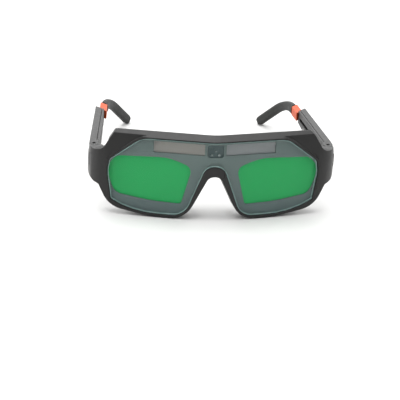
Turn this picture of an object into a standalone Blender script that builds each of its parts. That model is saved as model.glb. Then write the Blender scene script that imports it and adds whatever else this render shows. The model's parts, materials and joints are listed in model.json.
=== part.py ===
"""Solar auto-darkening welding goggles, modelled as separate solids.

The goggles stand on their lower rim and on the tips of the ear hooks. +Z is up, the wearer
looks along -Y, and +X is the wearer's left. Lengths are metres; values written in
millimetres are multiplied by MM.

Everything in the front follows one bent line, the front line: a short arc over the nose,
a straight stretch over each eye, and an arc round each temple corner. A front piece is made
flat, with X along that line, Y the depth towards the wearer and Z up, and is bent after.
"""
import math

import bmesh
import bpy
from mathutils import Matrix, Vector

MM = 0.001
GAP = 0.3 * MM

# ---------------------------------------------------------------- front line, in plan
NOSE_ARC_RADIUS = 36.0 * MM
WRAP_ANGLE = math.radians(10.0)
CORNER_START_X = 70.0 * MM
CORNER_RADIUS = 15.0 * MM
NOSE_ARC_END = NOSE_ARC_RADIUS * WRAP_ANGLE
NOSE_ARC_END_X = NOSE_ARC_RADIUS * math.sin(WRAP_ANGLE)
NOSE_ARC_END_Y = NOSE_ARC_RADIUS * (1.0 - math.cos(WRAP_ANGLE))
CORNER_START = NOSE_ARC_END + (CORNER_START_X - NOSE_ARC_END_X) / math.cos(WRAP_ANGLE)

# The box round the whole object is centred on Y = 0.
DEPTH_SHIFT = -85.39 * MM

# ---------------------------------------------------------------- depths of the front pieces
FRAME_BACK = 9.4 * MM
FRAME_LIP = 1.9 * MM
COVER_PLATE_DEPTHS = (0.5 * MM, 1.9 * MM)
BEZEL_DEPTHS = (2.2 * MM, 2.9 * MM)
PHOTODIODE_DEPTHS = (2.3 * MM, 2.9 * MM)
CELL_DEPTHS = (3.2 * MM, 4.2 * MM)
FILTER_DEPTHS = (3.2 * MM, 4.6 * MM)
SHUTTER_DEPTHS = (5.2 * MM, 6.4 * MM)
CIRCUIT_DEPTHS = (5.0 * MM, 5.5 * MM)
INNER_PLATE_DEPTHS = (6.7 * MM, 7.7 * MM)
COIN_CELL_DEPTHS = (6.3 * MM, 8.3 * MM)
REAR_COVER_DEPTHS = (FRAME_BACK + GAP, FRAME_BACK + GAP + 1.3 * MM)
NOSE_PAD_DEPTHS = (REAR_COVER_DEPTHS[1] + GAP, 19.0 * MM)

# ---------------------------------------------------------------- brow and clearances
BROW_FRONT_HEIGHT = 56.9 * MM
BROW_RIDGE_DEPTH = 5.2 * MM
BROW_RIDGE_HEIGHT = 59.9 * MM
BROW_BACK_HEIGHT = 57.8 * MM
FACET_SLOPE = math.radians(6.7)
FACET_TILT = math.radians(8.0)
FACET_FOOT = (70.0 * MM, 40.0 * MM)
FACET_START = 46.0 * MM
FACET_RIM = 1.9 * MM
FACET_BELOW_FOOT = 6.0 * MM
APERTURE_CLEARANCE = 0.3 * MM
BEZEL_MARGIN = 0.8 * MM
CAVITY_MARGIN = 1.1 * MM
GLASS_MARGIN = 0.8 * MM
SENSOR_MARGIN = 0.4 * MM
EYE_OPENING_MARGIN = -0.6 * MM

# ---------------------------------------------------------------- hinges
PIN_X = 78.3 * MM
PIN_Y = 28.0 * MM
PIN_RADIUS = 1.10 * MM
PIN_HOLE_RADIUS = 1.18 * MM
PIN_BOTTOM = 28.2 * MM
PIN_FLOOR = 0.4 * MM
PIN_TOP = 42.0 * MM
LUG_TOP = 44.4 * MM
LUG_BACK_Y = 25.0 * MM
KNUCKLE_RADIUS = 3.3 * MM
KNUCKLE_BOTTOM = 31.4 * MM
KNUCKLE_TOP = 40.3 * MM
KNUCKLE_ROOT = 7.0 * MM
LUG_HOLLOW_RADIUS = 3.8 * MM

# ---------------------------------------------------------------- temples, from the pin
TOE_IN = math.radians(3.2)
TEMPLE_SLOPE = math.radians(5.7)
TEMPLE_HALF_WIDTH = 3.2 * MM
TEMPLE_TOP = 44.1 * MM
TEMPLE_BOTTOM = 27.6 * MM
SLOPE_START = 4.5 * MM
ARM_INNER_X = -1.5 * MM
COVER_OUTER_X = ARM_INNER_X - GAP
FORK_DEPTH = 3.9 * MM
COVER_FRONT = 5.0 * MM
ARM_END_OUTER = 85.0 * MM
ARM_END_INNER = 78.4 * MM
PAST_END = 110.0 * MM
RAIL_BELOW_TOP = 4.4 * MM
RAIL_CHANNEL_HALF_HEIGHT = 2.9 * MM
RAIL_CHANNEL_START = 14.0 * MM
RAIL_CHANNEL_OUTER_X = 1.9 * MM
RAIL_HALF_HEIGHT = 2.6 * MM
RAIL_X = (-1.2 * MM, 1.6 * MM)
RAIL_START = 36.0 * MM
RAIL_END = 82.0 * MM
COLLAR_X = (-4.9 * MM, 0.3 * MM)
COLLAR_HALF_HEIGHT = 3.1 * MM
COLLAR_END_OUTER = 100.0 * MM
COLLAR_END_INNER = 94.0 * MM
TANG_HALF_WIDTH = 1.2 * MM
TANG_HALF_HEIGHT = 1.9 * MM
TANG_END = 104.5 * MM
SLOT_START = 12.0 * MM
SLOT_END = 74.0 * MM
SLOT_TOP = 0.4 * MM
SLOT_BOTTOM = -2.2 * MM
SLOT_ROUNDING = 1.2
LADDER_START = RAIL_START + 2.0 * MM
LADDER_PITCH = 5.0 * MM
LADDER_MARGIN = 0.2 * MM
LADDER_WINDOWS = 7
SPRING_START = 42.0 * MM
SPRING_LENGTH = 14.0 * MM
SPRING_RISE = 1.1 * MM
SPRING_THICKNESS = 0.4 * MM
SPRING_HALF_WIDTH = 1.1 * MM

# ---------------------------------------------------------------- ear hooks
HOOK_START = COLLAR_END_INNER - 2.0 * MM
HOOK_X = -2.4 * MM
HOOK_HALF_WIDTH = 2.8 * MM
HOOK_HALF_HEIGHT = 3.5 * MM
HOOK_EDGE_RADIUS = 2.3 * MM
HOOK_STRAIGHT = 8.5 * MM
HOOK_BEND_RADIUS = 46.0 * MM
HOOK_DROP = math.radians(34.9)
HOOK_TAIL = 27.7 * MM
HOOK_TOE_START = math.radians(3.5)
HOOK_TOE_END = math.radians(27.8)
HOOK_TIP = 3.4 * MM
HOOK_TIP_END = 0.02

# ---------------------------------------------------------------- screws: radii and lengths
CASE_SCREW = {"head_radius": 1.3 * MM, "head": 0.9 * MM, "shank_radius": 0.6 * MM, "shank": 6.2 * MM}
TEMPLE_SCREW = {"head_radius": 1.2 * MM, "head": 0.8 * MM, "shank_radius": 0.6 * MM, "shank": 4.0 * MM}
SCREW_CLEARANCE = 0.2 * MM
DRIVE_SLOT_WIDTH = 0.35 * MM
DRIVE_SLOT_DEPTH = 0.4 * MM
CASE_HOLE_RADIUS = CASE_SCREW["shank_radius"] + SCREW_CLEARANCE
TEMPLE_HOLE_RADIUS = TEMPLE_SCREW["shank_radius"] + SCREW_CLEARANCE
TEMPLE_HEAD_HOLE_RADIUS = TEMPLE_SCREW["head_radius"] + SCREW_CLEARANCE
CASE_SCREW_PLACES = ((64.0 * MM, 52.3 * MM), (66.2 * MM, 10.4 * MM))
CASE_HOLE_FRONT = 4.0 * MM
CASE_BOSS_RADIUS = 2.0 * MM
TEMPLE_SCREW_PLACES = ((9.0 * MM, 35.5 * MM), (60.0 * MM, 29.4 * MM))
TEMPLE_HOLE_END = 2.4 * MM
TEMPLE_SEAT_X = COVER_OUTER_X - 0.5 * MM

# ---------------------------------------------------------------- outlines, millimetres
# Each corner is (along the front line, height, rounding). A half outline runs from the top
# edge clockwise round the wearer's left eye to the nose, and is mirrored over the nose.
FRAME_HALF = [
    (65.6, 60.4, 6.5), (74.4, 46.2, 7.0), (82.0, 44.4, 3.0), (94.0, 44.4, 0.0), (94.0, 28.2, 0.0),
    (84.0, 22.6, 3.0), (77.2, 21.0, 2.5), (69.1, 5.6, 17.0), (39.5, 0.0, 40.0), (18.7, 0.0, 17.0),
    (3.6, 32.2, 5.4),
]
PLATE_HALF = [
    (48.3, 55.9, 15.0), (69.3, 39.4, 4.0), (70.7, 31.0, 18.0), (68.2, 11.4, 1.2), (61.0, 6.7, 40.0),
    (44.5, 2.6, 60.0), (19.3, 2.6, 12.0), (6.0, 39.3, 8.0),
]
REAR_COVER_HALF = [
    (64.4, 56.8, 5.0), (73.0, 45.0, 4.0), (73.6, 25.0, 9.0), (68.5, 6.4, 15.0), (39.5, 0.9, 40.0),
    (19.3, 0.9, 16.0), (4.3, 33.0, 5.8),
]
WINDOW = [
    (15.2, 37.1, 5.5), (31.0, 43.2, 32.0), (65.0, 41.9, 7.0), (70.7, 35.0, 9.0), (70.3, 27.0, 14.0),
    (66.2, 15.0, 8.0), (42.0, 11.0, 60.0), (21.9, 10.3, 2.6),
]
CELL_OPENING = [(7.4, 54.1, 0.5), (40.9, 54.1, 0.5), (40.9, 46.2, 0.5), (7.4, 46.2, 0.5)]
SENSOR_OPENING = [(-5.6, 53.7, 0.8), (5.6, 53.7, 0.8), (5.6, 45.0, 1.6), (-5.6, 45.0, 1.6)]
CIRCUIT_HALF = [(42.6, 54.4, 1.0), (42.6, 45.4, 1.0), (13.0, 45.4, 2.0), (7.0, 41.4, 2.0)]
NOSE_PAD_OUTER_HALF = [(20.2, 8.6, 1.0), (7.0, 38.0, 6.0)]
NOSE_PAD_INNER_HALF = [(16.4, 8.6, 0.6), (5.0, 33.6, 4.6)]
PHOTODIODES = {
    "photodiode_upper": (0.0, 49.7, 0.6),
    "photodiode_left": (2.5, 46.9, 0.9),
    "photodiode_right": (-2.5, 46.9, 0.7),
}
COIN_CELL_CENTRE_Z = 48.6 * MM
COIN_CELL_RADIUS = 5.0 * MM

SMALLEST_ROUNDING = 0.3
ROUND_END_SLACK = 0.01
ARC_STEP = math.radians(11.0)
FLAT_ANGLE = math.radians(0.2)
BEND_STEP = 1.8 * MM
ROUND_SIDES = 24
SCREW_SIDES = 14

# Linear colour, roughness, metallic.
MATERIALS = {
    "black_plastic": ((0.035, 0.032, 0.031), 0.48, 0.0),
    "temple_plastic": ((0.070, 0.070, 0.070), 0.50, 0.0),
    "orange_plastic": ((0.85, 0.20, 0.08), 0.45, 0.0),
    "black_rubber": ((0.050, 0.054, 0.051), 0.75, 0.0),
    "clear_plate": ((0.42, 0.55, 0.55), 0.12, 0.0),
    "bezel_print": ((0.115, 0.160, 0.160), 0.40, 0.0),
    "green_filter": ((0.040, 0.340, 0.105), 0.20, 0.0),
    "liquid_crystal": ((0.060, 0.140, 0.080), 0.15, 0.0),
    "solar_silicon": ((0.210, 0.205, 0.200), 0.30, 0.0),
    "sensor_plastic": ((0.080, 0.110, 0.112), 0.35, 0.0),
    "diode_lens": ((0.450, 0.520, 0.520), 0.15, 0.0),
    "circuit_film": ((0.280, 0.130, 0.030), 0.45, 0.0),
    "bright_steel": ((0.560, 0.560, 0.550), 0.30, 1.0),
    "inner_clear": ((0.600, 0.640, 0.620), 0.10, 0.0),
}


# ================================================================ scene and materials
def clear_scene():
    for obj in list(bpy.data.objects):
        bpy.data.objects.remove(obj, do_unlink=True)
    for collection in list(bpy.data.collections):
        bpy.data.collections.remove(collection)


def make_collection(name):
    collection = bpy.data.collections.new(name)
    bpy.context.scene.collection.children.link(collection)
    return collection


def material(name):
    found = bpy.data.materials.get(name)
    if found:
        return found
    colour, roughness, metallic = MATERIALS[name]
    made = bpy.data.materials.new(name)
    made.use_nodes = True
    shader = made.node_tree.nodes["Principled BSDF"]
    shader.inputs["Base Color"].default_value = (*colour, 1.0)
    shader.inputs["Roughness"].default_value = roughness
    shader.inputs["Metallic"].default_value = metallic
    made.diffuse_color = (*colour, 1.0)
    return made


def empty(name, location, parent=None, yaw=0.0):
    axis = bpy.data.objects.new(name, None)
    axis.location = location
    axis.rotation_euler = (0.0, 0.0, yaw)
    axis.parent = parent
    PARTS.objects.link(axis)
    return axis


def finish(obj, name, material_name, parent, sharp_angle=35.0):
    """Give a modelled object its name, material, shading and parent."""
    obj.name = name
    obj.data.name = name
    obj.data.materials.clear()
    obj.data.materials.append(material(material_name))
    obj.data.shade_smooth()
    obj.data.set_sharp_from_angle(angle=math.radians(sharp_angle))
    obj.parent = parent
    return obj


# ================================================================ outlines
def mirrored(half):
    """The whole outline, counter-clockwise, from the half on the wearer's left."""
    return [(-s, z, r) for s, z, r in half] + [corner for corner in reversed(half)]


def counter_clockwise(corners):
    area = 0.0
    for (x0, y0, _), (x1, y1, _) in zip(corners, corners[1:] + corners[:1]):
        area += x0 * y1 - x1 * y0
    return list(corners) if area > 0 else list(reversed(corners))


def flipped(corners):
    """The same outline over the wearer's other eye."""
    return [(-s, z, r) for s, z, r in corners]


def grow(corners, distance):
    """Move every edge of a closed outline outwards by a distance in metres."""
    corners = counter_clockwise(corners)
    distance = distance / MM
    count = len(corners)
    grown = []
    for index in range(count):
        before = Vector(corners[index - 1][:2])
        here = Vector(corners[index][:2])
        after = Vector(corners[(index + 1) % count][:2])
        incoming = (here - before).normalized()
        outgoing = (after - here).normalized()
        out_in = Vector((incoming.y, -incoming.x))
        out_out = Vector((outgoing.y, -outgoing.x))
        turn = incoming.x * outgoing.y - incoming.y * outgoing.x
        shift = (out_in + out_out) * (distance / (1.0 + out_in.dot(out_out)))
        radius = corners[index][2]
        if radius > 0.0:
            radius = max(radius + math.copysign(distance, turn), SMALLEST_ROUNDING)
        grown.append((here.x + shift.x, here.y + shift.y, radius))
    return grown


def rounded(corners):
    """Points of a closed outline whose corners are arcs, in metres."""
    corners = counter_clockwise(corners)
    count = len(corners)
    points = []
    for index, (x, y, radius) in enumerate(corners):
        here = Vector((x, y))
        to_before = (Vector(corners[index - 1][:2]) - here).normalized()
        to_after = (Vector(corners[(index + 1) % count][:2]) - here).normalized()
        inner = to_before.angle(to_after)
        if radius <= 0.0:
            points.append(here * MM)
            continue
        centre = here + (to_before + to_after).normalized() * (radius / math.sin(inner / 2.0))
        start = here + to_before * (radius / math.tan(inner / 2.0)) - centre
        turn = math.pi - inner
        if to_before.x * to_after.y - to_before.y * to_after.x > 0.0:
            turn = -turn
        steps = max(1, math.ceil(abs(turn) / ARC_STEP))
        for step in range(steps + 1):
            angle = turn * step / steps
            turned = Vector((start.x * math.cos(angle) - start.y * math.sin(angle),
                             start.x * math.sin(angle) + start.y * math.cos(angle)))
            points.append((centre + turned) * MM)
    return points


# ================================================================ solids
def mesh_from(obj):
    """The evaluated mesh of an object, in place of the object itself.

    A curve's caps are welded on, and their triangles are merged into whole faces.
    """
    was_curve = obj.type == "CURVE"
    graph = bpy.context.evaluated_depsgraph_get()
    data = bpy.data.meshes.new_from_object(obj.evaluated_get(graph))
    made = bpy.data.objects.new(obj.name, data)
    made.matrix_world = obj.matrix_world
    PARTS.objects.link(made)
    bpy.data.objects.remove(obj, do_unlink=True)
    work = bmesh.new()
    work.from_mesh(data)
    if was_curve:
        bmesh.ops.remove_doubles(work, verts=work.verts, dist=0.002 * MM)
        bmesh.ops.dissolve_limit(work, angle_limit=FLAT_ANGLE, verts=work.verts, edges=work.edges)
    work.to_mesh(data)
    work.free()
    return made


def extruded(loops, low, high, facing):
    """A flat outline with holes, made solid between two distances.

    FRONT outlines are (along, height) with depth as the distance, SIDE outlines are
    (back, height) with X as the distance, and PLAN outlines are (X, Y) with height.
    """
    curve = bpy.data.curves.new("outline", "CURVE")
    curve.dimensions = "2D"
    curve.fill_mode = "BOTH"
    curve.extrude = (high - low) / 2.0
    for loop in loops:
        spline = curve.splines.new("POLY")
        spline.points.add(len(loop) - 1)
        for point, place in zip(spline.points, loop):
            point.co = (place[0], place[1], 0.0, 1.0)
        spline.use_cyclic_u = True
    flat = bpy.data.objects.new("outline", curve)
    PARTS.objects.link(flat)
    solid = mesh_from(flat)
    middle = (high + low) / 2.0
    turns = {
        "FRONT": Matrix(((1, 0, 0, 0), (0, 0, -1, middle), (0, 1, 0, 0), (0, 0, 0, 1))),
        "SIDE": Matrix(((0, 0, 1, middle), (1, 0, 0, 0), (0, 1, 0, 0), (0, 0, 0, 1))),
        "PLAN": Matrix.Translation((0.0, 0.0, middle)),
    }
    solid.data.transform(turns[facing])
    return solid


def block(low, high):
    """A box between two corners."""
    bpy.ops.mesh.primitive_cube_add(size=1.0)
    box = bpy.context.object
    low, high = Vector(low), Vector(high)
    size = high - low
    box.data.transform(Matrix.Translation((low + high) / 2.0) @ Matrix.Diagonal((*size, 1.0)))
    return into_parts(box)


def rod(radius, start, end, sides=ROUND_SIDES):
    """A cylinder from one point to another."""
    start, end = Vector(start), Vector(end)
    bpy.ops.mesh.primitive_cylinder_add(vertices=sides, radius=radius, depth=(end - start).length)
    cylinder = bpy.context.object
    turn = Vector((0.0, 0.0, 1.0)).rotation_difference(end - start).to_matrix().to_4x4()
    cylinder.data.transform(Matrix.Translation((start + end) / 2.0) @ turn)
    return into_parts(cylinder)


def into_parts(obj):
    for collection in list(obj.users_collection):
        collection.objects.unlink(obj)
    PARTS.objects.link(obj)
    return obj


def combine(target, tools, operation):
    """Apply a Boolean with each tool in turn, and bake the result."""
    for tool in tools:
        into_parts(tool)
        modifier = target.modifiers.new("combine", "BOOLEAN")
        modifier.operation = operation
        modifier.solver = "EXACT"
        modifier.object = tool
    bpy.context.view_layer.update()
    made = mesh_from(target)
    for tool in tools:
        bpy.data.objects.remove(tool, do_unlink=True)
    return made


def cut(target, *tools):
    return combine(target, tools, "DIFFERENCE")


def join(target, *tools):
    return combine(target, tools, "UNION")


def common(target, tool):
    return combine(target, (tool,), "INTERSECT")


def mirror_copy(source, name, parent):
    """The same piece for the wearer's other side."""
    made = bpy.data.objects.new(name, source.data.copy())
    made.data.transform(Matrix.Scale(-1.0, 4, (1.0, 0.0, 0.0)))
    work = bmesh.new()
    work.from_mesh(made.data)
    bmesh.ops.reverse_faces(work, faces=work.faces)
    work.to_mesh(made.data)
    work.free()
    made.data.name = name
    made.location = source.location
    made.rotation_euler = source.rotation_euler
    made.parent = parent
    PARTS.objects.link(made)
    return made


# ================================================================ the bend
def front_point(along, depth):
    """X and Y of a place on the front line, moved towards the wearer by a depth."""
    side = math.copysign(1.0, along)
    along = abs(along)
    if along < NOSE_ARC_END:
        angle = along / NOSE_ARC_RADIUS
        reach = NOSE_ARC_RADIUS - depth
        return side * reach * math.sin(angle), NOSE_ARC_RADIUS - reach * math.cos(angle)
    straight = min(along, CORNER_START) - NOSE_ARC_END
    x = NOSE_ARC_END_X + straight * math.cos(WRAP_ANGLE)
    y = NOSE_ARC_END_Y + straight * math.sin(WRAP_ANGLE)
    angle = WRAP_ANGLE
    if along > CORNER_START:
        centre_x = x - CORNER_RADIUS * math.sin(angle)
        centre_y = y + CORNER_RADIUS * math.cos(angle)
        angle += (along - CORNER_START) / CORNER_RADIUS
        x = centre_x + CORNER_RADIUS * math.sin(angle)
        y = centre_y - CORNER_RADIUS * math.cos(angle)
    return side * (x - depth * math.sin(angle)), y + depth * math.cos(angle)


def bend(solid):
    """Bend a flat front piece round the front line."""
    reach = max(abs(vertex.co.x) for vertex in solid.data.vertices)
    lines = [0.0]
    nose_steps = math.ceil(NOSE_ARC_END / BEND_STEP)
    lines += [NOSE_ARC_END * step / nose_steps for step in range(1, nose_steps + 1)]
    line = CORNER_START
    while line < reach:
        lines.append(line)
        line += BEND_STEP
    work = bmesh.new()
    work.from_mesh(solid.data)
    for line in sorted({sign * line for line in lines for sign in (-1.0, 1.0)}):
        geometry = work.verts[:] + work.edges[:] + work.faces[:]
        bmesh.ops.bisect_plane(work, geom=geometry, plane_co=(line, 0, 0), plane_no=(1, 0, 0), dist=1e-7)
    for vertex in work.verts:
        vertex.co.x, vertex.co.y = front_point(vertex.co.x, vertex.co.y)
    work.to_mesh(solid.data)
    work.free()
    return solid


def front_plate(loops, depths):
    return bend(extruded(loops, depths[0], depths[1], "FRONT"))


# ================================================================ front pieces
def brow_cutter(low, high):
    """A slab that takes away everything above a sloping line from one (depth, height) to another."""
    reach = 120.0 * MM
    low, high = Vector((0.0, *low)), Vector((0.0, *high))
    along = (high - low).normalized()
    slab = block((-reach, -reach, 0.0), (reach, reach, 30.0 * MM))
    slab.data.transform(Matrix.Translation(low) @ Matrix.Rotation(math.atan2(along.z, along.y), 4, "X"))
    return slab


def case_screw_rods(radius, front, back):
    """Rods round the lines of the case screws, in the flat front pieces."""
    tools = []
    for along, height in CASE_SCREW_PLACES:
        for side in (-1.0, 1.0):
            start = (side * along, front, height)
            end = (side * along, back, height)
            tools.append(rod(radius, start, end, SCREW_SIDES))
    return tools


def frame_knuckle(side):
    """The middle hinge knuckle with its root inside the lug."""
    x, r, root = side * PIN_X / MM, KNUCKLE_RADIUS / MM, KNUCKLE_ROOT / MM
    y = PIN_Y / MM
    nearly = r - ROUND_END_SLACK
    corners = [
        (x - r, y - root, 0.0), (x + r, y - root, 0.0), (x + r, y + r, nearly), (x - r, y + r, nearly),
    ]
    return extruded([rounded(corners)], KNUCKLE_BOTTOM, KNUCKLE_TOP, "PLAN")


def facet_cutter(plate, side):
    """The wedge that sinks the front face towards its upper outer corner.

    It starts from nothing at the facet's foot, and stays clear of a rim round the plate.
    """
    foot_along, foot_height = FACET_FOOT
    reach = 100.0 * MM
    near, far = sorted((side * FACET_START, side * reach))
    wedge = block((near, -reach, foot_height - FACET_BELOW_FOOT), (far, reach, reach))
    behind = block((-reach, 0.0, -reach), (reach, 3.0 * reach, 3.0 * reach))
    turn = Matrix.Rotation(side * FACET_TILT, 4, "Y") @ Matrix.Rotation(-FACET_SLOPE, 4, "X")
    behind.data.transform(Matrix.Translation((side * foot_along, 0.0, foot_height)) @ turn)
    rim = extruded([rounded(grow(plate, FACET_RIM))], -2.0 * reach, 2.0 * reach, "FRONT")
    return cut(wedge, behind, rim)


def make_front_frame(root):
    outline = mirrored(FRAME_HALF)
    plate = mirrored(PLATE_HALF)
    frame = extruded([rounded(outline)], 0.0, FRAME_BACK, "FRONT")
    aperture = extruded([rounded(grow(plate, APERTURE_CLEARANCE))], -2.0 * MM, FRAME_BACK, "FRONT")
    cavity = extruded([rounded(grow(plate, CAVITY_MARGIN))], FRAME_LIP, 2.0 * FRAME_BACK, "FRONT")
    cavity = cut(cavity, *case_screw_rods(CASE_BOSS_RADIUS, BEZEL_DEPTHS[1] + GAP, 3.0 * FRAME_BACK))
    ridge = (BROW_RIDGE_DEPTH, BROW_RIDGE_HEIGHT)
    holes = case_screw_rods(CASE_HOLE_RADIUS, CASE_HOLE_FRONT, 2.0 * FRAME_BACK)
    frame = cut(frame, aperture, cavity, *holes)
    frame = cut(frame, facet_cutter(plate, -1.0), facet_cutter(plate, 1.0))
    frame = cut(frame, brow_cutter((0.0, BROW_FRONT_HEIGHT), ridge))
    frame = cut(frame, brow_cutter(ridge, (FRAME_BACK, BROW_BACK_HEIGHT)))
    frame = bend(frame)
    over = 5.0 * MM
    tools = []
    for side in (-1.0, 1.0):
        near, far = sorted((side * 60.0 * MM, side * 100.0 * MM))
        tools.append(block((near, LUG_BACK_Y, 0.0), (far, LUG_BACK_Y + 20.0 * MM, LUG_TOP + over)))
        low, high = (side * PIN_X, PIN_Y, -over), (side * PIN_X, PIN_Y, LUG_TOP + over)
        tools.append(rod(LUG_HOLLOW_RADIUS, low, high))
    frame = cut(frame, *tools)
    frame = join(frame, *[frame_knuckle(side) for side in (-1.0, 1.0)])
    holes = []
    for side in (-1.0, 1.0):
        low, high = KNUCKLE_BOTTOM - over, KNUCKLE_TOP + over
        holes.append(rod(PIN_HOLE_RADIUS, (side * PIN_X, PIN_Y, low), (side * PIN_X, PIN_Y, high)))
    frame = cut(frame, *holes)
    return finish(frame, "front_frame", "black_plastic", root)


def make_cover_plate(root):
    plate = front_plate([rounded(mirrored(PLATE_HALF))], COVER_PLATE_DEPTHS)
    return finish(plate, "cover_plate", "clear_plate", root)


def make_filter_bezel(root):
    loops = [rounded(grow(mirrored(PLATE_HALF), BEZEL_MARGIN)), rounded(SENSOR_OPENING)]
    for opening in (WINDOW, CELL_OPENING):
        loops.append(rounded(opening))
        loops.append(rounded(flipped(opening)))
    return finish(front_plate(loops, BEZEL_DEPTHS), "filter_bezel", "bezel_print", root)


def make_eye_stack(root, side_name, window):
    """The filter glass, the liquid crystal shutter and the inner plate behind one window."""
    pane = [rounded(grow(window, GLASS_MARGIN))]
    layers = (
        ("filter_glass", "green_filter", FILTER_DEPTHS),
        ("lcd_shutter", "liquid_crystal", SHUTTER_DEPTHS),
        ("inner_plate", "inner_clear", INNER_PLATE_DEPTHS),
    )
    for name, look, depths in layers:
        finish(front_plate(pane, depths), f"{name}_{side_name}", look, root)


def make_solar_cell(root, side_name, opening):
    cell = front_plate([rounded(grow(opening, GLASS_MARGIN))], CELL_DEPTHS)
    return finish(cell, f"solar_cell_{side_name}", "solar_silicon", root)


def make_sensor(root):
    inset = [rounded(grow(SENSOR_OPENING, SENSOR_MARGIN))]
    finish(front_plate(inset, CELL_DEPTHS), "sensor_block", "sensor_plastic", root)
    front, back = PHOTODIODE_DEPTHS
    for name, (along, height, radius) in PHOTODIODES.items():
        x, y = front_point(along * MM, front)
        dome = rod(radius * MM, (0, 0, 0), (0, back - front, 0), SCREW_SIDES)
        dome.location = (x, y, height * MM)
        finish(dome, name, "diode_lens", root)


def make_electronics(root):
    film = front_plate([rounded(mirrored(CIRCUIT_HALF))], CIRCUIT_DEPTHS)
    finish(film, "flex_circuit", "circuit_film", root)
    front, back = COIN_CELL_DEPTHS
    cell = rod(COIN_CELL_RADIUS, (0, 0, 0), (0, back - front, 0))
    cell.location = (0.0, front, COIN_CELL_CENTRE_Z)
    finish(cell, "coin_cell", "bright_steel", root)


def make_rear_cover(root):
    loops = [rounded(mirrored(REAR_COVER_HALF))]
    loops.append(rounded(grow(WINDOW, EYE_OPENING_MARGIN)))
    loops.append(rounded(grow(flipped(WINDOW), EYE_OPENING_MARGIN)))
    cover = extruded(loops, *REAR_COVER_DEPTHS, "FRONT")
    cover = cut(cover, *case_screw_rods(CASE_HOLE_RADIUS, 0.0, 2.0 * REAR_COVER_DEPTHS[1]))
    return finish(bend(cover), "rear_cover", "black_plastic", root)


def make_nose_pad(root):
    """A rubber saddle that lines the nose arch behind the rear cover."""
    right_inside = [(-s, z, r) for s, z, r in NOSE_PAD_INNER_HALF]
    right_outside = [(-s, z, r) for s, z, r in NOSE_PAD_OUTER_HALF]
    corners = right_inside + list(reversed(NOSE_PAD_INNER_HALF)) + NOSE_PAD_OUTER_HALF
    corners += list(reversed(right_outside))
    pad = front_plate([rounded(corners)], NOSE_PAD_DEPTHS)
    return finish(pad, "nose_pad", "black_rubber", root)


def make_screw(name, sizes, parent, location, direction):
    """A screw whose head starts at its origin and whose shank runs along a direction."""
    head = rod(sizes["head_radius"], (0, 0, -sizes["head"]), (0, 0, 0), SCREW_SIDES)
    shank = rod(sizes["shank_radius"], (0, 0, -sizes["head"] / 2.0), (0, 0, sizes["shank"]), SCREW_SIDES)
    reach = sizes["head_radius"] + MM
    low = (-reach, -DRIVE_SLOT_WIDTH / 2.0, -2.0 * sizes["head"])
    slot = block(low, (reach, DRIVE_SLOT_WIDTH / 2.0, DRIVE_SLOT_DEPTH - sizes["head"]))
    screw = cut(join(head, shank), slot)
    screw.location = location
    screw.rotation_mode = "QUATERNION"
    screw.rotation_quaternion = Vector((0.0, 0.0, 1.0)).rotation_difference(Vector(direction))
    return finish(screw, name, "bright_steel", parent)


def make_case_screws(root):
    seat = REAR_COVER_DEPTHS[1] + GAP
    for row, (along, height) in zip(("upper", "lower"), CASE_SCREW_PLACES):
        for side_name, side in SIDES.items():
            x, y = front_point(side * along, seat)
            inner_x, inner_y = front_point(side * along, seat - MM)
            direction = (inner_x - x, inner_y - y, 0.0)
            name = f"case_screw_{row}_{side_name}"
            make_screw(name, CASE_SCREW, root, (x, y, height), direction)


# ================================================================ temples
def temple_top(back):
    """Height of the temple's top edge at a distance behind the pin."""
    return TEMPLE_TOP - max(0.0, back - SLOPE_START) * math.tan(TEMPLE_SLOPE)


def temple_side_profile(start):
    """The temple seen from the side, from a distance behind the pin to past its end."""
    end = PAST_END
    corners = [(start, TEMPLE_BOTTOM), (end, TEMPLE_BOTTOM), (end, temple_top(end))]
    if start < SLOPE_START:
        corners.append((SLOPE_START, TEMPLE_TOP))
    corners.append((start, temple_top(start)))
    return [corners]


def end_line(x):
    """Where the slanted end of the temple lies, at a distance across it."""
    share = (x + TEMPLE_HALF_WIDTH) / (2.0 * TEMPLE_HALF_WIDTH)
    return ARM_END_INNER + share * (ARM_END_OUTER - ARM_END_INNER)


def collar_line(x):
    """Where the slanted end of the collar lies, at a distance across it."""
    share = (x - COLLAR_X[0]) / (COLLAR_X[1] - COLLAR_X[0])
    return COLLAR_END_INNER + share * (COLLAR_END_OUTER - COLLAR_END_INNER)


def rail_matrix():
    """The sloping line down the middle of the temple's channel."""
    start = Vector((0.0, 0.0, TEMPLE_TOP + SLOPE_START * math.tan(TEMPLE_SLOPE) - RAIL_BELOW_TOP))
    return Matrix.Translation(start) @ Matrix.Rotation(-TEMPLE_SLOPE, 4, "X")


def along_rail(solid):
    solid.data.transform(rail_matrix())
    return solid


def spring_room():
    """A box under the channel that holds the friction spring."""
    floor = -RAIL_CHANNEL_HALF_HEIGHT - SPRING_RISE - SPRING_THICKNESS
    low = (ARM_INNER_X - MM, SPRING_START - MM, floor)
    high = (RAIL_CHANNEL_OUTER_X, SPRING_START + SPRING_LENGTH + MM, 0.0)
    return along_rail(block(low, high))


def end_cutter():
    """Everything behind the slanted end of the temple."""
    reach = 20.0 * MM
    far = 2.0 * PAST_END
    corners = [(-reach, end_line(-reach)), (reach, end_line(reach)), (reach, far), (-reach, far)]
    return along_rail(extruded([corners], -2.0 * reach, 2.0 * reach, "PLAN"))


def temple_screw_hole(radius, place, low_x, high_x):
    back, height = place
    return rod(radius, (low_x, back, height), (high_x, back, height), SCREW_SIDES)


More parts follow.
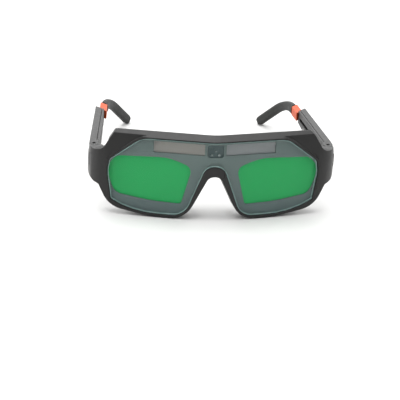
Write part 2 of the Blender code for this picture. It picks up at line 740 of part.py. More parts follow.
def make_temple_arm(axis, side_name):
    w = TEMPLE_HALF_WIDTH / MM
    inner, step = ARM_INNER_X / MM, COVER_FRONT / MM
    plan = [
        (-w, -w, w - ROUND_END_SLACK), (w, -w, w - ROUND_END_SLACK), (w, PAST_END / MM, 0.0),
        (inner, PAST_END / MM, 0.0), (inner, step, 0.0), (-w, step, 0.0),
    ]
    over = 5.0 * MM
    arm = extruded(temple_side_profile(-TEMPLE_HALF_WIDTH - MM), -2 * over, 2 * over, "SIDE")
    arm = common(arm, extruded([rounded(plan)], -over, TEMPLE_TOP + over, "PLAN"))
    fork = block((-2 * over, -2 * over, KNUCKLE_BOTTOM - GAP), (2 * over, FORK_DEPTH, KNUCKLE_TOP + GAP))
    low = (ARM_INNER_X - MM, RAIL_CHANNEL_START, -RAIL_CHANNEL_HALF_HEIGHT)
    high = (RAIL_CHANNEL_OUTER_X, PAST_END + MM, RAIL_CHANNEL_HALF_HEIGHT)
    channel = along_rail(block(low, high))
    pin_hole = rod(PIN_HOLE_RADIUS, (0, 0, TEMPLE_BOTTOM + PIN_FLOOR), (0, 0, TEMPLE_TOP + over))
    holes = [temple_screw_hole(TEMPLE_HOLE_RADIUS, place, ARM_INNER_X - MM, TEMPLE_HOLE_END)
             for place in TEMPLE_SCREW_PLACES]
    arm = cut(arm, fork, pin_hole, end_cutter())
    arm = cut(arm, channel, spring_room(), *holes)
    return finish(arm, f"temple_arm_{side_name}", "temple_plastic", axis)


def make_temple_cover(axis, side_name):
    w, outer = -TEMPLE_HALF_WIDTH / MM, COVER_OUTER_X / MM
    front = (COVER_FRONT + GAP) / MM
    plan = [(w, front, 0.0), (outer, front, 0.0), (outer, PAST_END / MM, 0.0), (w, PAST_END / MM, 0.0)]
    over = 5.0 * MM
    cover = extruded(temple_side_profile(0.0), -2 * over, 2 * over, "SIDE")
    cover = common(cover, extruded([rounded(plan)], -over, TEMPLE_TOP + over, "PLAN"))
    start, end, bottom, top = SLOT_START / MM, SLOT_END / MM, SLOT_BOTTOM / MM, SLOT_TOP / MM
    r = SLOT_ROUNDING
    slot = [rounded([(start, bottom, r), (end, bottom, r), (end, top, r), (start, top, r)])]
    slot = along_rail(extruded(slot, -2 * over, 0.0, "SIDE"))
    tools = [slot, end_cutter()]
    for place in TEMPLE_SCREW_PLACES:
        tools.append(temple_screw_hole(TEMPLE_HOLE_RADIUS, place, -over, 0.0))
        tools.append(temple_screw_hole(TEMPLE_HEAD_HOLE_RADIUS, place, -over, TEMPLE_SEAT_X))
    cover = cut(cover, *tools)
    return finish(cover, f"temple_cover_{side_name}", "temple_plastic", axis)


def make_slider(axis, side_name):
    """The orange rail with its ladder, its collar behind the temple and its tang in the hook."""
    rail = block((RAIL_X[0], RAIL_START, -RAIL_HALF_HEIGHT), (RAIL_X[1], RAIL_END, RAIL_HALF_HEIGHT))
    clear = GAP / math.cos(math.atan2(ARM_END_OUTER - ARM_END_INNER, 2.0 * TEMPLE_HALF_WIDTH))
    left, right = COLLAR_X
    neck_low = (RAIL_X[0], RAIL_END - 2.0 * MM, -RAIL_HALF_HEIGHT)
    neck = block(neck_low, (right - GAP, COLLAR_END_INNER - MM, RAIL_HALF_HEIGHT))
    corners = [
        (right, end_line(right) + clear), (right, collar_line(right)), (left, collar_line(left)),
        (left, end_line(left) + clear),
    ]
    collar = extruded([corners], -COLLAR_HALF_HEIGHT, COLLAR_HALF_HEIGHT, "PLAN")
    tang_low = (HOOK_X - TANG_HALF_WIDTH, COLLAR_END_INNER - MM, -TANG_HALF_HEIGHT)
    tang = block(tang_low, (HOOK_X + TANG_HALF_WIDTH, TANG_END, TANG_HALF_HEIGHT))
    slider = join(rail, neck, collar, tang)
    windows = []
    for index in range(LADDER_WINDOWS):
        start = LADDER_START + index * LADDER_PITCH
        low = (RAIL_X[0] - MM, start, SLOT_BOTTOM + LADDER_MARGIN)
        high = (RAIL_X[1] + MM, start + 0.5 * LADDER_PITCH, SLOT_TOP - LADDER_MARGIN)
        windows.append(block(low, high))
    slider = cut(slider, *windows)
    slider = along_rail(slider)
    return finish(slider, f"slider_{side_name}", "orange_plastic", axis)


def make_friction_spring(axis, side_name):
    """A bowed steel leaf under the rail, whose crown presses the rail upwards."""
    count = 10
    lower, upper = [], []
    floor = -RAIL_CHANNEL_HALF_HEIGHT - SPRING_RISE - SPRING_THICKNESS + GAP
    for index in range(count + 1):
        share = index / count
        height = floor + (SPRING_RISE - GAP) * math.sin(math.pi * share)
        back = SPRING_START + share * SPRING_LENGTH
        lower.append(Vector((back, height)))
        upper.append(Vector((back, height + SPRING_THICKNESS)))
    leaf = extruded([lower + upper[::-1]], -SPRING_HALF_WIDTH, SPRING_HALF_WIDTH, "SIDE")
    return finish(along_rail(leaf), f"friction_spring_{side_name}", "bright_steel", axis)


def hook_path():
    """Middle line of the ear hook: straight on from the rail, then down and inwards."""
    bend_length = HOOK_BEND_RADIUS * HOOK_DROP
    length = HOOK_STRAIGHT + bend_length + HOOK_TAIL
    count = 36
    step = length / count
    place = rail_matrix() @ Vector((HOOK_X, HOOK_START, 0.0))
    path = [place.copy()]
    for index in range(count):
        done = min(max(((index + 0.5) * step - HOOK_STRAIGHT) / bend_length, 0.0), 1.0)
        slope = TEMPLE_SLOPE + done * HOOK_DROP
        toe = HOOK_TOE_START + done * (HOOK_TOE_END - HOOK_TOE_START)
        level = math.cos(slope) * step
        place += Vector((-math.sin(toe) * level, math.cos(toe) * level, -math.sin(slope) * step))
        path.append(place.copy())
    return path, step


def tip_scale(distance):
    """How wide the hook still is, at a distance from the end of its rounded tip."""
    share = min(max(distance / HOOK_TIP, HOOK_TIP_END), 1.0)
    return math.sqrt(1.0 - (1.0 - share) ** 2)


def hook_section():
    """The hook's cross-section, as a guide curve for the sweep."""
    w, h, r = HOOK_HALF_WIDTH / MM, HOOK_HALF_HEIGHT / MM, HOOK_EDGE_RADIUS / MM
    section = bpy.data.curves.new("hook_section", "CURVE")
    section.dimensions = "2D"
    points = rounded([(-w, -h, r), (w, -h, r), (w, h, r), (-w, h, r)])
    spline = section.splines.new("POLY")
    spline.points.add(len(points) - 1)
    for point, place in zip(spline.points, points):
        point.co = (place[0], place[1], 0.0, 1.0)
    spline.use_cyclic_u = True
    guide = bpy.data.objects.new("hook_section", section)
    guide.hide_render = True
    guide.display_type = "WIRE"
    CUTTERS.objects.link(guide)
    return guide


def close_ends(tube):
    """Fill both open ends of a swept tube."""
    work = bmesh.new()
    work.from_mesh(tube.data)
    bmesh.ops.holes_fill(work, edges=work.edges)
    bmesh.ops.recalc_face_normals(work, faces=work.faces)
    work.to_mesh(tube.data)
    work.free()
    return tube


def make_ear_hook(axis, side_name):
    path, step = hook_path()
    remaining = (len(path) - 1) * step
    places = []
    for place in path:
        places.append((place, tip_scale(remaining)))
        remaining -= step
    curve = bpy.data.curves.new("hook", "CURVE")
    curve.dimensions = "3D"
    curve.twist_mode = "Z_UP"
    curve.bevel_mode = "OBJECT"
    curve.bevel_object = hook_section()
    spline = curve.splines.new("POLY")
    spline.points.add(len(places) - 1)
    for point, (place, scale) in zip(spline.points, places):
        point.co = (*place, 1.0)
        point.radius = scale
    sweep = bpy.data.objects.new("hook", curve)
    PARTS.objects.link(sweep)
    bpy.context.view_layer.update()
    hook = close_ends(mesh_from(sweep))
    reach = 20.0 * MM
    near, far = collar_line(-reach) + 2.0 * GAP, collar_line(reach) + 2.0 * GAP
    corners = [(-reach, 0.0), (reach, 0.0), (reach, far), (-reach, near)]
    before = along_rail(extruded([corners], -reach, reach, "PLAN"))
    room = GAP / 2.0
    low = (HOOK_X - TANG_HALF_WIDTH - room, HOOK_START - MM, -TANG_HALF_HEIGHT - room)
    high = (HOOK_X + TANG_HALF_WIDTH + room, TANG_END + GAP, TANG_HALF_HEIGHT + room)
    hook = cut(hook, before, along_rail(block(low, high)))
    return finish(hook, f"ear_hook_{side_name}", "black_rubber", axis, sharp_angle=50.0)


def make_temple_screws(axis, side_name, side):
    for row, (back, height) in zip(("front", "rear"), TEMPLE_SCREW_PLACES):
        seat = TEMPLE_SEAT_X - GAP / 2.0
        name = f"temple_screw_{row}_{side_name}"
        make_screw(name, TEMPLE_SCREW, axis, (side * seat, back, height), (side, 0.0, 0.0))


def make_hinge_pin(root, side_name, side):
    pin = rod(PIN_RADIUS, (0, 0, PIN_BOTTOM), (0, 0, PIN_TOP))
    pin.location = (side * PIN_X, PIN_Y, 0.0)
    return finish(pin, f"hinge_pin_{side_name}", "bright_steel", root)


def make_temples(root):
    axes = {}
    for side_name, side in SIDES.items():
        place = (side * PIN_X, PIN_Y, 0.0)
        axes[side_name] = empty(f"temple_axis_{side_name}", place, root, side * TOE_IN)
        make_hinge_pin(root, side_name, side)
        make_temple_screws(axes[side_name], side_name, side)
    for make in (make_temple_arm, make_temple_cover, make_slider, make_friction_spring, make_ear_hook):
        piece = make(axes["left"], "left")
        mirror_copy(piece, piece.name.replace("left", "right"), axes["right"])


SIDES = {"left": 1.0, "right": -1.0}

clear_scene()
PARTS = make_collection("welding_goggles")
CUTTERS = make_collection("cutters")

goggles = empty("goggles", (0.0, DEPTH_SHIFT, 0.0))
make_front_frame(goggles)
make_cover_plate(goggles)
make_filter_bezel(goggles)
make_eye_stack(goggles, "left", WINDOW)
make_eye_stack(goggles, "right", flipped(WINDOW))
make_solar_cell(goggles, "left", CELL_OPENING)
make_solar_cell(goggles, "right", flipped(CELL_OPENING))
make_sensor(goggles)
make_electronics(goggles)
make_rear_cover(goggles)
make_nose_pad(goggles)
make_case_screws(goggles)
make_temples(goggles)
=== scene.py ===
"""Welding goggles on a pale floor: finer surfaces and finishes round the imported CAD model."""
import json
import math

import bpy
import bmesh
from mathutils import Matrix, Vector
from mathutils.bvhtree import BVHTree


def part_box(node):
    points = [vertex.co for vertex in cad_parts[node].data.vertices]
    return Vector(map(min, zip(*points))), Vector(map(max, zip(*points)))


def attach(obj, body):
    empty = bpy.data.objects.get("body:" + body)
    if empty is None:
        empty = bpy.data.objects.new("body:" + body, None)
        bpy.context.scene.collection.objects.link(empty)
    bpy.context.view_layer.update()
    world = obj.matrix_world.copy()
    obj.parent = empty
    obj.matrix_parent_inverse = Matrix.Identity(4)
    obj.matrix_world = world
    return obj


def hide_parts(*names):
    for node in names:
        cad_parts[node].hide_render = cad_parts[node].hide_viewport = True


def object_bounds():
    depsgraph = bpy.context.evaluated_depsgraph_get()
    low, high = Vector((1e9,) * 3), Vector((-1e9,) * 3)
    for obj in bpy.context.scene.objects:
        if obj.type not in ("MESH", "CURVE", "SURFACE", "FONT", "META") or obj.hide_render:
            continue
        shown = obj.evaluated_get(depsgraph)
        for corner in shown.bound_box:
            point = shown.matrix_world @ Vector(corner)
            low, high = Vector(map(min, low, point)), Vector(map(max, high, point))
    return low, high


MM = 0.001

# Sockets of the Map Range and Mix nodes, by their place in the node.
RANGE_LIMITS = (1, 2, 3, 4)
MIX_SHARE, MIX_FIRST, MIX_SECOND, MIX_COLOUR_OUT = 0, 6, 7, 2

# Plastic: how far the colour drifts, and where a rubbed edge starts and is complete.
DARK_DRIFT, LIGHT_DRIFT, RUBBED = 0.85, 1.35, 1.9
EDGE_START, EDGE_FULL = 0.52, 0.60
# Painted light on the outer sides: the lighter grey, and how far inside the outer edge it starts and is
# complete.
PAINTED_SIDE_LIGHT_COLOUR = (0.085, 0.084, 0.082)
PAINTED_SIDE_LIGHT_START, PAINTED_SIDE_LIGHT_FULL = 2.3 * MM, 1.0 * MM
COLLAR_SETBACK = 4.6 * MM
COLLAR_EDGE = 0.2 * MM

# Rounding of the moulded pieces.
WELD_DISTANCE = 0.004 * MM
FLAT_ANGLE = math.radians(0.3)
ROUNDED_ANGLE = math.radians(28.0)
ROUNDING_STEPS = 3
STRAY_SHARE = 0.5
FLAT_FACE_WEIGHT = 80

WORLD_STRENGTH = 0.52
FLOOR_SIZE = 6.0

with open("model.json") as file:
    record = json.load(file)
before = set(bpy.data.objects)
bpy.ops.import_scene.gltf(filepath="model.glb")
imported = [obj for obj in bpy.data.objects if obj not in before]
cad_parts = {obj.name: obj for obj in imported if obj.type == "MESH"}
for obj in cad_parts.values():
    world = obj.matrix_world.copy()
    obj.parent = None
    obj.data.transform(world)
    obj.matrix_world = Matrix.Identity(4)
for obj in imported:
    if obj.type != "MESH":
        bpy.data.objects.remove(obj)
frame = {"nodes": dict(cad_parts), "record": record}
NODES = frame["nodes"]
cad_low, cad_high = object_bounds()
# Behind this line the slider is the collar that shows, and ahead of it the rail in the temple.
COLLAR_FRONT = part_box("temple_cover_left")[1][1] - COLLAR_SETBACK


# ================================================================ materials
class Look:
    """A node material, built step by step."""

    def __init__(self, name):
        self.material = bpy.data.materials.new(name)
        self.material.use_nodes = True
        self.tree = self.material.node_tree
        self.shader = self.tree.nodes["Principled BSDF"]
        self.coordinates = self.tree.nodes.new("ShaderNodeTexCoord")

    def set(self, **values):
        """Set plain values on the shader, an underscore standing for a space in a name."""
        for name, value in values.items():
            self.shader.inputs[name.replace("_", " ")].default_value = value
        return self

    def link(self, source, target):
        self.tree.links.new(source, target)

    def node(self, kind, **properties):
        made = self.tree.nodes.new(kind)
        for name, value in properties.items():
            setattr(made, name, value)
        return made

    def place(self, stretch=(1.0, 1.0, 1.0), turn=(0.0, 0.0, 0.0)):
        mapping = self.node("ShaderNodeMapping")
        mapping.inputs["Scale"].default_value = stretch
        mapping.inputs["Rotation"].default_value = turn
        self.link(self.coordinates.outputs["Object"], mapping.inputs["Vector"])
        return mapping.outputs["Vector"]

    def noise(self, scale, detail=3.0, roughness=0.55, stretch=(1.0, 1.0, 1.0)):
        made = self.node("ShaderNodeTexNoise")
        made.inputs["Scale"].default_value = scale
        made.inputs["Detail"].default_value = detail
        made.inputs["Roughness"].default_value = roughness
        self.link(self.place(stretch), made.inputs["Vector"])
        return made.outputs["Fac"]

    def cells(self, scale):
        made = self.node("ShaderNodeTexVoronoi")
        made.inputs["Scale"].default_value = scale
        self.link(self.place(), made.inputs["Vector"])
        return made.outputs["Distance"]

    def spread(self, value, low, high, out_low, out_high):
        """Carry the range from low to high over to the range from out_low to out_high."""
        made = self.node("ShaderNodeMapRange")
        for index, number in zip(RANGE_LIMITS, (low, high, out_low, out_high)):
            made.inputs[index].default_value = number
        self.link(value, made.inputs[0])
        return made.outputs["Result"]

    def mix(self, share, first, second):
        """Blend two colours, each a triple or another node's output."""
        made = self.node("ShaderNodeMix", data_type="RGBA")
        for index, value in ((MIX_SHARE, share), (MIX_FIRST, first), (MIX_SECOND, second)):
            if hasattr(value, "is_output"):
                self.link(value, made.inputs[index])
            elif index == MIX_SHARE:
                made.inputs[index].default_value = value
            else:
                made.inputs[index].default_value = (*value, 1.0)
        return made.outputs[MIX_COLOUR_OUT]

    def colour(self, value):
        self.link(value, self.shader.inputs["Base Color"])
        return self

    def roughness(self, value):
        self.link(value, self.shader.inputs["Roughness"])
        return self

    def bump(self, height, strength, distance):
        """Add relief on top of any relief the shader already has."""
        made = self.node("ShaderNodeBump")
        made.inputs["Strength"].default_value = strength
        made.inputs["Distance"].default_value = distance
        self.link(height, made.inputs["Height"])
        previous = self.shader.inputs["Normal"]
        if previous.is_linked:
            self.link(previous.links[0].from_socket, made.inputs["Normal"])
        self.link(made.outputs["Normal"], self.shader.inputs["Normal"])
        return self

    def worn_edges(self, base, worn):
        """A little lighter where an edge stands proud."""
        geometry = self.node("ShaderNodeNewGeometry")
        share = self.spread(geometry.outputs["Pointiness"], EDGE_START, EDGE_FULL, 0.0, 1.0)
        return self.mix(share, base, worn)


def moulded_plastic(name, colour, roughness, grain=9000.0, strength=0.25, gloss=0.5, painted_side_light=None):
    """Satin moulded plastic: a fine spark-eroded grain, slow colour drift, rubbed edges.

    The last argument, if given, is how far from the middle the painted light on the outer sides starts
    and is complete: a lighter grey that stands in for the light falling on those sides.
    """
    look = Look(name)
    darker = tuple(DARK_DRIFT * c for c in colour)
    lighter = tuple(LIGHT_DRIFT * c for c in colour)
    drift = look.mix(look.noise(60.0, 2.0), darker, lighter)
    # Painted light: far from the middle the colour goes over to a lighter grey that stands in for the
    # light on the outer sides.
    if painted_side_light:
        place = look.node("ShaderNodeSeparateXYZ")
        look.link(look.place(), place.inputs["Vector"])
        away = look.node("ShaderNodeMath", operation="ABSOLUTE")
        look.link(place.outputs["X"], away.inputs[0])
        share = look.spread(away.outputs[0], painted_side_light[0], painted_side_light[1], 0.0, 1.0)
        drift = look.mix(share, drift, PAINTED_SIDE_LIGHT_COLOUR)
    look.colour(look.worn_edges(drift, tuple(RUBBED * c for c in colour)))
    look.roughness(look.spread(look.noise(450.0, 4.0), 0.3, 0.7, roughness - 0.06, roughness + 0.07))
    look.bump(look.noise(grain, 2.0), strength, 0.00004)
    look.bump(look.cells(2600.0), 0.15 * strength, 0.00005)
    look.set(Specular_IOR_Level=gloss)
    return look.material


def rubber(name, darker, lighter):
    """Matt rubber with a little dust in its grain."""
    look = Look(name)
    drift = look.mix(look.noise(90.0, 3.0), darker, lighter)
    dust = look.spread(look.noise(1500.0, 5.0, 0.7), 0.55, 0.8, 0.0, 0.25)
    look.colour(look.mix(dust, drift, (0.09, 0.09, 0.086)))
    look.roughness(look.spread(look.noise(700.0), 0.3, 0.7, 0.62, 0.80))
    look.bump(look.noise(5200.0, 4.0, 0.7), 0.35, 0.00005)
    look.set(Specular_IOR_Level=0.35, Sheen_Weight=0.08)
    return look.material


def orange_plastic():
    """Orange at the collar, and black on the ladder rail inside the temple."""
    look = Look("orange_plastic")
    tone = look.mix(look.noise(150.0), (0.42, 0.058, 0.013), (0.50, 0.080, 0.020))
    place = look.node("ShaderNodeSeparateXYZ")
    look.link(look.place(), place.inputs["Vector"])
    collar = look.spread(place.outputs["Y"], COLLAR_FRONT, COLLAR_FRONT + COLLAR_EDGE, 0.0, 1.0)
    black = look.mix(look.noise(150.0), (0.008, 0.008, 0.008), (0.014, 0.014, 0.014))
    look.colour(look.mix(collar, black, tone))
    look.roughness(look.spread(look.noise(600.0), 0.3, 0.7, 0.36, 0.48))
    look.bump(look.noise(6000.0), 0.15, 0.00004)
    look.set(Specular_IOR_Level=0.2)
    return look.material


def clear_plate():
    """Clear polycarbonate with a faint smoke tint and fine wiping marks."""
    look = Look("clear_plate")
    look.colour(look.mix(look.noise(30.0), (0.020, 0.034, 0.034), (0.030, 0.045, 0.045)))
    wiped = look.noise(900.0, 5.0, stretch=(1.0, 1.0, 0.25))
    look.roughness(look.spread(wiped, 0.35, 0.75, 0.04, 0.12))
    look.set(Alpha=0.10, IOR=1.49, Specular_IOR_Level=0.16)
    return look.material


def plate_edge_painted_highlight():
    """The cut edge of the clear plate, coloured pale teal as a painted highlight of the light caught
    along the edge.
    """
    look = Look("plate_edge_painted_highlight")
    look.colour(look.mix(look.noise(240.0, 3.0), (0.24, 0.40, 0.375), (0.42, 0.58, 0.55)))
    look.roughness(look.spread(look.noise(1200.0, 3.0), 0.3, 0.7, 0.18, 0.34))
    look.bump(look.noise(3000.0, 2.0), 0.1, 0.00003)
    look.set(Alpha=0.85)
    return look.material


def bezel_print():
    """Grey-teal print with a fine speckle, a little bluer towards the lower rim."""
    look = Look("bezel_print")
    tone = look.mix(look.noise(35.0, 2.0), (0.158, 0.213, 0.203), (0.180, 0.237, 0.226))
    height = look.node("ShaderNodeSeparateXYZ")
    look.link(look.place(), height.inputs["Vector"])
    share = look.spread(height.outputs["Z"], 0.006, 0.040, 0.0, 1.0)
    tone = look.mix(share, look.mix(0.55, tone, (0.120, 0.172, 0.180)), tone)
    speckle = look.spread(look.noise(5000.0, 2.0), 0.45, 0.75, 0.0, 0.10)
    look.colour(look.mix(speckle, tone, (0.20, 0.23, 0.24)))
    look.roughness(look.spread(look.noise(500.0), 0.3, 0.7, 0.45, 0.6))
    look.bump(look.noise(7000.0), 0.06, 0.00003)
    look.set(Specular_IOR_Level=0.3)
    return look.material


def green_filter():
    """Green filter glass with a soft sheen."""
    look = Look("green_filter")
    look.colour(look.mix(look.noise(18.0, 1.0), (0.036, 0.490, 0.138), (0.040, 0.515, 0.150)))
    look.roughness(look.spread(look.noise(300.0), 0.3, 0.7, 0.30, 0.38))
    look.set(Specular_IOR_Level=0.12)
    return look.material


def liquid_crystal():
    """Dark green shutter glass with a clear coat."""
    look = Look("liquid_crystal")
    look.colour(look.mix(look.noise(25.0), (0.030, 0.085, 0.045), (0.045, 0.110, 0.060)))
    look.roughness(look.spread(look.noise(400.0), 0.3, 0.7, 0.08, 0.16))
    look.set(Coat_Weight=0.5, Coat_Roughness=0.04)
    return look.material


def solar_silicon(name, first, second):
    """A silicon cell: fine pale collector lines on a grey surface."""
    look = Look(name)
    lines = look.node("ShaderNodeTexWave", wave_type="BANDS", bands_direction="X")
    lines.inputs["Scale"].default_value = 260.0
    look.link(look.place(), lines.inputs["Vector"])
    tone = look.mix(look.noise(220.0, 4.0), first, second)
    share = look.spread(lines.outputs["Fac"], 0.86, 1.0, 0.0, 0.35)
    look.colour(look.mix(share, tone, (0.44, 0.44, 0.43)))
    look.roughness(look.spread(look.noise(800.0), 0.3, 0.7, 0.35, 0.5))
    look.bump(lines.outputs["Fac"], 0.1, 0.00005)
    look.set(Specular_IOR_Level=0.3)
    return look.material


def sensor_plastic():
    """Mottled grey-green sensor housing."""
    look = Look("sensor_plastic")
    look.colour(look.mix(look.noise(700.0, 3.0), (0.060, 0.098, 0.100), (0.105, 0.150, 0.150)))
    look.roughness(look.spread(look.noise(900.0), 0.3, 0.7, 0.25, 0.45))
    look.bump(look.noise(1800.0, 3.0), 0.3, 0.0001)
    return look.material


def diode_lens():
    """Pale, glossy lens of a light sensor."""
    look = Look("diode_lens")
    look.colour(look.mix(look.noise(900.0), (0.16, 0.21, 0.21), (0.24, 0.30, 0.30)))
    look.roughness(look.spread(look.noise(900.0), 0.3, 0.7, 0.08, 0.18))
    look.set(Coat_Weight=0.8, Coat_Roughness=0.05)
    return look.material


def circuit_film():
    """Amber film with copper tracks."""
    look = Look("circuit_film")
    tracks = look.node("ShaderNodeTexBrick")
    tracks.inputs["Scale"].default_value = 420.0
    tracks.inputs["Mortar Size"].default_value = 0.03
    tracks.inputs["Color1"].default_value = (0.27, 0.115, 0.025, 1.0)
    tracks.inputs["Color2"].default_value = (0.24, 0.10, 0.022, 1.0)
    tracks.inputs["Mortar"].default_value = (0.50, 0.26, 0.09, 1.0)
    look.link(look.place(turn=(math.radians(90.0), 0.0, 0.0)), tracks.inputs["Vector"])
    look.colour(tracks.outputs["Color"])
    look.roughness(look.spread(look.noise(600.0), 0.3, 0.7, 0.35, 0.5))
    look.bump(tracks.outputs["Fac"], 0.2, 0.00005)
    return look.material


def bright_steel():
    """Plated steel with turning marks along its height."""
    look = Look("bright_steel")
    look.colour(look.mix(look.noise(500.0, 3.0), (0.46, 0.46, 0.45), (0.62, 0.62, 0.60)))
    look.roughness(look.spread(look.noise(3000.0, 4.0, stretch=(1.0, 1.0, 0.1)), 0.3, 0.7, 0.24, 0.42))
    look.bump(look.noise(6000.0, stretch=(1.0, 1.0, 0.05)), 0.1, 0.00003)
    look.set(Metallic=1.0)
    return look.material


def inner_clear():
    """Clear inner pane with a faint green tint."""
    look = Look("inner_clear")
    look.colour(look.mix(look.noise(30.0), (0.060, 0.100, 0.080), (0.080, 0.125, 0.100)))
    look.roughness(look.spread(look.noise(700.0), 0.3, 0.7, 0.05, 0.10))
    look.set(Alpha=0.18, IOR=1.49)
    return look.material


LOOKS = {
    "black_plastic": moulded_plastic(
        "black_plastic", (0.0060, 0.0058, 0.0057), 0.42, gloss=0.40,
        # The outer sides of the black plastic carry painted light.
        painted_side_light=(cad_high.x - PAINTED_SIDE_LIGHT_START, cad_high.x - PAINTED_SIDE_LIGHT_FULL),
    ),
    "temple_plastic": moulded_plastic(
        "temple_plastic", (0.018, 0.018, 0.0177), 0.50, grain=5200.0, strength=0.5,
    ),
    "orange_plastic": orange_plastic(),
    "black_rubber": rubber(
        "black_rubber", (0.00600, 0.00656, 0.00576), (0.00975, 0.01066, 0.00936),
    ),
    "clear_plate": clear_plate(),
    "plate_edge_painted_highlight": plate_edge_painted_highlight(),
    "bezel_print": bezel_print(),
    "green_filter": green_filter(),
    "liquid_crystal": liquid_crystal(),
    "solar_silicon": solar_silicon(
        "solar_silicon", (0.290, 0.315, 0.322), (0.345, 0.365, 0.372),
    ),
    "sensor_plastic": sensor_plastic(),
    "diode_lens": diode_lens(),
    "circuit_film": circuit_film(),
    "bright_steel": bright_steel(),
    "inner_clear": inner_clear(),
    "solar_silicon_warm": solar_silicon(
        "solar_silicon_warm", (0.335, 0.325, 0.300), (0.385, 0.375, 0.345),
    ),
}


# ================================================================ pieces

# The slot and the body of each node, and the rounding in millimetres of the moulded ones.
SLOTS = {part["node"]: part["material_slot"] for part in frame["record"]["subparts"]}
BODIES = {node: body for body, nodes in frame["record"]["behaviour"]["bodies"].items() for node in nodes}
SOFT_EDGES = {
    "front_frame": 0.40, "cover_plate": 0.34, "rear_cover": 0.30, "nose_pad": 0.60,
    "temple_arm": 0.25, "temple_cover": 0.20, "slider": 0.35, "filter_bezel": 0.12,
    "hinge_pin": 0.15, "sensor_block": 0.15,
}


def look_of(name):
    """The finish of a node's slot; the two solar cells differ a little in tone."""
    if name == "solar_cell_right":
        return LOOKS["solar_silicon_warm"]
    return LOOKS[SLOTS[name]]


def keep_on_surface(shape, source, reach):
    """Bring points that the rounding threw off the source surface back onto it."""
    places = [vertex.co for vertex in source.vertices]
    tree = BVHTree.FromPolygons(places, [tuple(face.vertices) for face in source.polygons])
    for vertex in shape.vertices:
        nearest, _, _, distance = tree.find_nearest(vertex.co)
        if distance > reach:
            vertex.co = nearest


def moulded_copy(name, width):
    """Stand in for a CAD node with a copy whose edges are rounded as moulding leaves them."""
    source = NODES[name]
    data = source.data.copy()
    piece = bpy.data.objects.new(f"{name}_moulded", data)
    piece.matrix_world = source.matrix_world
    bpy.context.scene.collection.objects.link(piece)
    data.materials.clear()
    data.materials.append(look_of(name))
    work = bmesh.new()
    work.from_mesh(data)
    bmesh.ops.remove_doubles(work, verts=work.verts, dist=WELD_DISTANCE)
    bmesh.ops.dissolve_limit(work, angle_limit=FLAT_ANGLE, verts=work.verts, edges=work.edges)
    bmesh.ops.triangulate(work, faces=work.faces, quad_method="BEAUTY", ngon_method="BEAUTY")
    work.to_mesh(data)
    work.free()
    for attribute in list(data.attributes):
        if attribute.name == "custom_normal":
            data.attributes.remove(attribute)
    bevel = piece.modifiers.new("rounded", "BEVEL")
    bevel.width = width * MM
    bevel.segments = ROUNDING_STEPS
    bevel.limit_method = "ANGLE"
    bevel.angle_limit = ROUNDED_ANGLE
    bevel.use_clamp_overlap = False
    if name == "cover_plate":
        # The rim faces made by the rounding get the pale painted edge highlight.
        data.materials.append(LOOKS["plate_edge_painted_highlight"])
        bevel.material = 1
    bpy.context.view_layer.update()
    graph = bpy.context.evaluated_depsgraph_get()
    shape = bpy.data.meshes.new_from_object(piece.evaluated_get(graph))
    piece.modifiers.clear()
    keep_on_surface(shape, source.data, STRAY_SHARE * width * MM)
    shape.shade_smooth()
    piece.data = shape
    even = piece.modifiers.new("even", "WEIGHTED_NORMAL")
    even.keep_sharp = True
    even.weight = FLAT_FACE_WEIGHT
    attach(piece, BODIES[name])
    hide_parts(name)


def dress_cad_nodes():
    """Give every CAD node the finish of its slot, and soften the edges of the moulded ones."""
    for name, obj in NODES.items():
        obj.data.materials.clear()
        obj.data.materials.append(look_of(name))
        for start, width in SOFT_EDGES.items():
            if name.startswith(start):
                moulded_copy(name, width)


dress_cad_nodes()


# ================================================================ floor, light and camera
def softbox(name, location, target, width, height, power):
    """A rectangular studio light that faces a target."""
    light = bpy.data.lights.new(name, "AREA")
    light.shape = "RECTANGLE"
    light.size = width
    light.size_y = height
    light.energy = power
    lamp = bpy.data.objects.new(name, light)
    lamp.location = location
    lamp.rotation_euler = (Vector(target) - Vector(location)).to_track_quat("-Z", "Y").to_euler()
    bpy.context.scene.collection.objects.link(lamp)


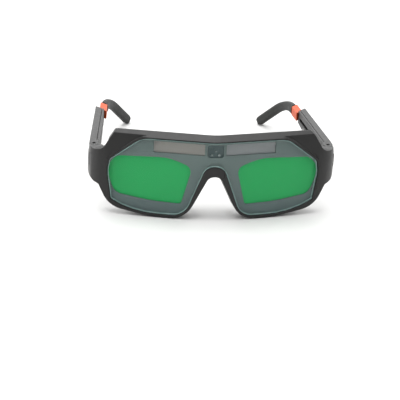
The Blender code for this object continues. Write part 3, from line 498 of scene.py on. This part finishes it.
def make_floor():
    """Matt pale paper under the goggles."""
    bpy.ops.mesh.primitive_plane_add(size=FLOOR_SIZE, location=(0.0, 0.0, 0.0))
    floor = bpy.context.object
    floor.name = "floor"
    look = Look("floor_paper")
    look.colour(look.mix(look.noise(3.0, 2.0), (0.64, 0.64, 0.635), (0.66, 0.66, 0.655)))
    look.set(Roughness=0.9, Specular_IOR_Level=0.1)
    floor.data.materials.append(look.material)


def make_world():
    """Even white light from all sides."""
    world = bpy.data.worlds.new("studio")
    world.use_nodes = True
    background = world.node_tree.nodes["Background"]
    background.inputs["Color"].default_value = (1.0, 1.0, 0.995, 1.0)
    background.inputs["Strength"].default_value = WORLD_STRENGTH
    bpy.context.scene.world = world


def make_camera():
    """The camera looks down at the goggles from the front, a little from the wearer's right."""
    place = Vector((-0.0826, -0.8119, 0.37293))
    target = Vector((-0.00501, -0.04539, -0.00366))
    roll = math.radians(2.78)
    data = bpy.data.cameras.new("camera")
    data.sensor_width = 36.0
    data.lens = 111.7
    data.clip_start = 0.01
    camera = bpy.data.objects.new("camera", data)
    forward = (target - place).normalized()
    right = forward.cross(Vector((0.0, 0.0, 1.0))).normalized()
    up = right.cross(forward)
    across = math.cos(roll) * right + math.sin(roll) * up
    upward = math.cos(roll) * up - math.sin(roll) * right
    turn = Matrix((across, upward, -forward)).transposed().to_4x4()
    camera.matrix_world = Matrix.Translation(place) @ turn
    bpy.context.scene.collection.objects.link(camera)
    bpy.context.scene.camera = camera


make_floor()
make_world()
make_camera()
softbox("top_softbox", (-0.08, -0.02, 1.00), (0.0, -0.03, 0.0), 1.2, 0.9, 14.0)
softbox("back_softbox", (0.10, 1.30, 0.80), (0.0, 0.0, 0.03), 1.8, 0.8, 13.0)
softbox("left_softbox", (-1.00, 0.10, 0.45), (0.0, -0.05, 0.03), 0.8, 0.6, 8.0)
softbox("right_softbox", (1.00, 0.10, 0.50), (0.0, -0.05, 0.03), 0.8, 0.6, 5.0)
bpy.context.scene.view_settings.view_transform = "Standard"
